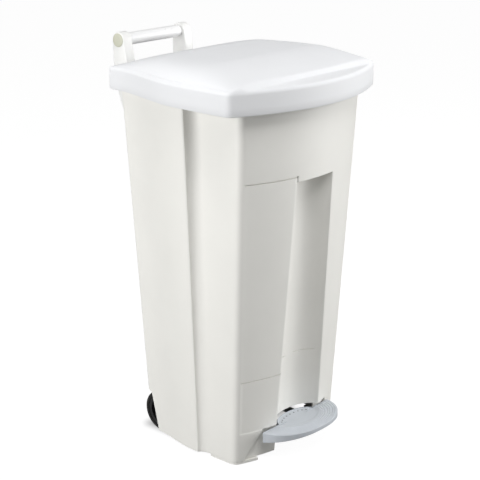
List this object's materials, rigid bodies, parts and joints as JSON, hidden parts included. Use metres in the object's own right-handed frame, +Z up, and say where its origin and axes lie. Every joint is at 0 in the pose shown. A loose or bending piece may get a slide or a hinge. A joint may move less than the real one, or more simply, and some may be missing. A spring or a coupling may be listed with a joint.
{
  "type": "pedal trash can",
  "caption": "Tall wheeled waste bin with tapered tub, domed hinged lid lifted by a front foot pedal through an under-floor lever and rear push rod, and a rear push handle.",
  "frame": {"origin": "on the floor, under the centre of the overall box", "axes": "+Z up, the pedal side faces -Y, +X to the right when seen from the pedal side"},
  "size_m": [0.504, 0.542, 0.926],
  "materials": {
    "white_plastic": "satin moulded polyethylene with a fine orange-peel grain",
    "white_lid_plastic": "satin moulded polyethylene, slightly smoother than the tub",
    "white_grip_plastic": "smooth semi-gloss tube",
    "light_grey_plastic": "satin moulded polypropylene, ribbed tread",
    "cream_plastic": "satin moulded plug",
    "black_plastic": "satin moulded polypropylene",
    "tyre_rubber": "solid rubber, fine grain",
    "steel": "bright zinc-plated drawn steel"
  },
  "bodies": {
    "tub_body": {"tub": "white_plastic", "front_foot_left": "white_plastic", "front_foot_right": "white_plastic", "hinge_bracket_left": "white_plastic", "hinge_bracket_right": "white_plastic", "hinge_pin_left": "steel", "hinge_pin_right": "steel", "hinge_screws": "steel", "handle_arm_left": "white_plastic", "handle_arm_right": "white_plastic", "handle_grip": "white_grip_plastic", "grip_cap_left": "cream_plastic", "grip_cap_right": "cream_plastic", "handle_screws": "steel", "rod_guide_upper": "white_plastic", "rod_guide_lower": "white_plastic", "rod_guide_screws": "steel", "lever_bracket_left": "white_plastic", "lever_bracket_right": "white_plastic", "lever_pivot_rod": "steel", "bracket_screws": "steel", "axle_bracket_left": "white_plastic", "axle_bracket_right": "white_plastic", "wheel_axle": "steel", "axle_cap_left": "steel", "axle_cap_right": "steel"},
    "lid": {"lid": "white_lid_plastic", "lid_knuckles_left": "white_plastic", "lid_knuckles_right": "white_plastic", "lid_lift_lug": "white_plastic", "lift_pin": "steel", "lid_screws": "steel"},
    "push_rod": {"push_rod": "steel", "rod_yoke": "black_plastic", "rod_clevis": "black_plastic"},
    "pedal": {"pedal": "light_grey_plastic", "pedal_lever": "steel", "pedal_screws": "steel", "lever_bush_left": "black_plastic", "lever_bush_right": "black_plastic", "clevis_pin": "steel"},
    "wheel_left": {"wheel_hub_left": "black_plastic", "tyre_left": "tyre_rubber"},
    "wheel_right": {"wheel_hub_right": "black_plastic", "tyre_right": "tyre_rubber"}
  },
  "joints": [
    {"name": "lid_hinge", "type": "hinge", "parent": "tub_body", "child": "lid", "pos_m": [0, 0.19, 0.842], "axis": [-1, 0, 0], "range_deg": [0, 80]},
    {"name": "rod_slide", "type": "slide", "parent": "tub_body", "child": "push_rod", "axis": [0, 0.0635, 0.998], "range_m": [0, 0.036]},
    {"name": "pedal_pivot", "type": "hinge", "parent": "tub_body", "child": "pedal", "pos_m": [0, -0.045, 0.062], "axis": [1, 0, 0], "range_deg": [0, 12.46]},
    {"name": "wheel_left_spin", "type": "hinge", "parent": "tub_body", "child": "wheel_left", "pos_m": [-0.142, 0.098, 0.05], "axis": [1, 0, 0], "continuous": true},
    {"name": "wheel_right_spin", "type": "hinge", "parent": "tub_body", "child": "wheel_right", "pos_m": [0.142, 0.098, 0.05], "axis": [1, 0, 0], "continuous": true}
  ],
  "couplings": [
    {"joint": "rod_slide", "follows": "lid_hinge", "m_per_rad": 0.02578},
    {"joint": "pedal_pivot", "follows": "lid_hinge", "ratio": 0.1558}
  ]
}
